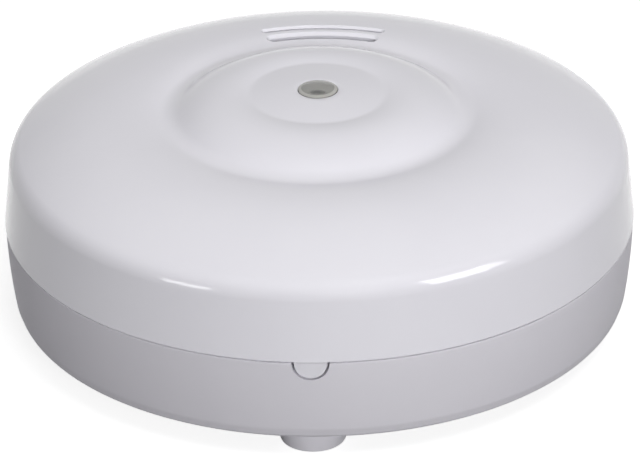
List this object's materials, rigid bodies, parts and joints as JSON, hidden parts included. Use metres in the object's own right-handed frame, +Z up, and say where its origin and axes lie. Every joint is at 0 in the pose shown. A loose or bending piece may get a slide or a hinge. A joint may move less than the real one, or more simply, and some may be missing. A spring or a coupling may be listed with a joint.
{
  "type": "water leak sensor",
  "caption": "Round white battery water alarm with a rippled lift-off cover, an indicator lens, sound slots and sensing feet.",
  "frame": {"origin": "on the floor under the middle of the case", "axes": "+Z up through the indicator lens, -Y to the front, where the cover's tab is"},
  "size_m": [0.08, 0.08, 0.0312],
  "materials": {
    "cover_plastic": "glossy white moulded plastic",
    "base_plastic": "satin white moulded plastic",
    "clear_plastic": "clear polished plastic",
    "contact_steel": "bright stainless steel",
    "nickel": "nickel plate",
    "cell_steel": null,
    "cell_jacket": "printed shrink film, left plain",
    "blue_lead": "lead insulation",
    "yellow_lead": "lead insulation",
    "red_lead": "lead insulation",
    "black_lead": "lead insulation",
    "board_green": "solder mask on glass laminate",
    "holder_black": "black moulded plastic",
    "brass": "rolled brass",
    "ceramic": "silvered ceramic",
    "chip_black": "black moulding compound",
    "ferrite": "ferrite",
    "copper": "enamelled copper wire",
    "can_sleeve": "shrink sleeve on an aluminium can",
    "resistor_tan": "lacquer",
    "disc_orange": "dipped lacquer"
  },
  "bodies": {
    "base": {"base_shell": "base_plastic", "contact_stud_front": "contact_steel", "contact_stud_left": "contact_steel", "contact_stud_right": "contact_steel", "contact_nuts": "nickel", "solder_tags": "nickel", "sensor_lead_front": "blue_lead", "sensor_lead_left": "yellow_lead", "sensor_lead_right": "yellow_lead", "positive_plate": "nickel", "negative_plate": "nickel", "bridge_plate": "nickel", "negative_spring": "nickel", "bridge_spring": "nickel", "battery_lead_red": "red_lead", "battery_lead_black": "black_lead", "circuit_board": "board_green", "board_screws": "contact_steel", "indicator_lamp": "clear_plastic", "lamp_pins": "nickel", "sounder_holder": "holder_black", "sounder_disc": "brass", "sounder_ceramic": "ceramic", "sounder_leads": "red_lead", "controller_chip": "chip_black", "chip_legs": "nickel", "coil_core": "ferrite", "coil_winding": "copper", "can_capacitor": "can_sleeve", "transistor": "chip_black", "transistor_legs": "nickel", "resistors": "resistor_tan", "disc_capacitors": "disc_orange"},
    "cover": {"upper_cover": "cover_plastic", "light_guide": "clear_plastic"},
    "cell_front": {"cell_front_can": "cell_steel", "cell_front_jacket": "cell_jacket"},
    "cell_rear": {"cell_rear_can": "cell_steel", "cell_rear_jacket": "cell_jacket"}
  },
  "joints": [
    {"name": "cover_lift", "type": "slide", "parent": "base", "child": "cover", "axis": [0, 0, 1], "range_m": [0, 0.04]},
    {"name": "cell_front_lift", "type": "slide", "parent": "base", "child": "cell_front", "axis": [0, 0, 1], "range_m": [0, 0.006]},
    {"name": "cell_rear_lift", "type": "slide", "parent": "base", "child": "cell_rear", "axis": [0, 0, 1], "range_m": [0, 0.006]}
  ]
}
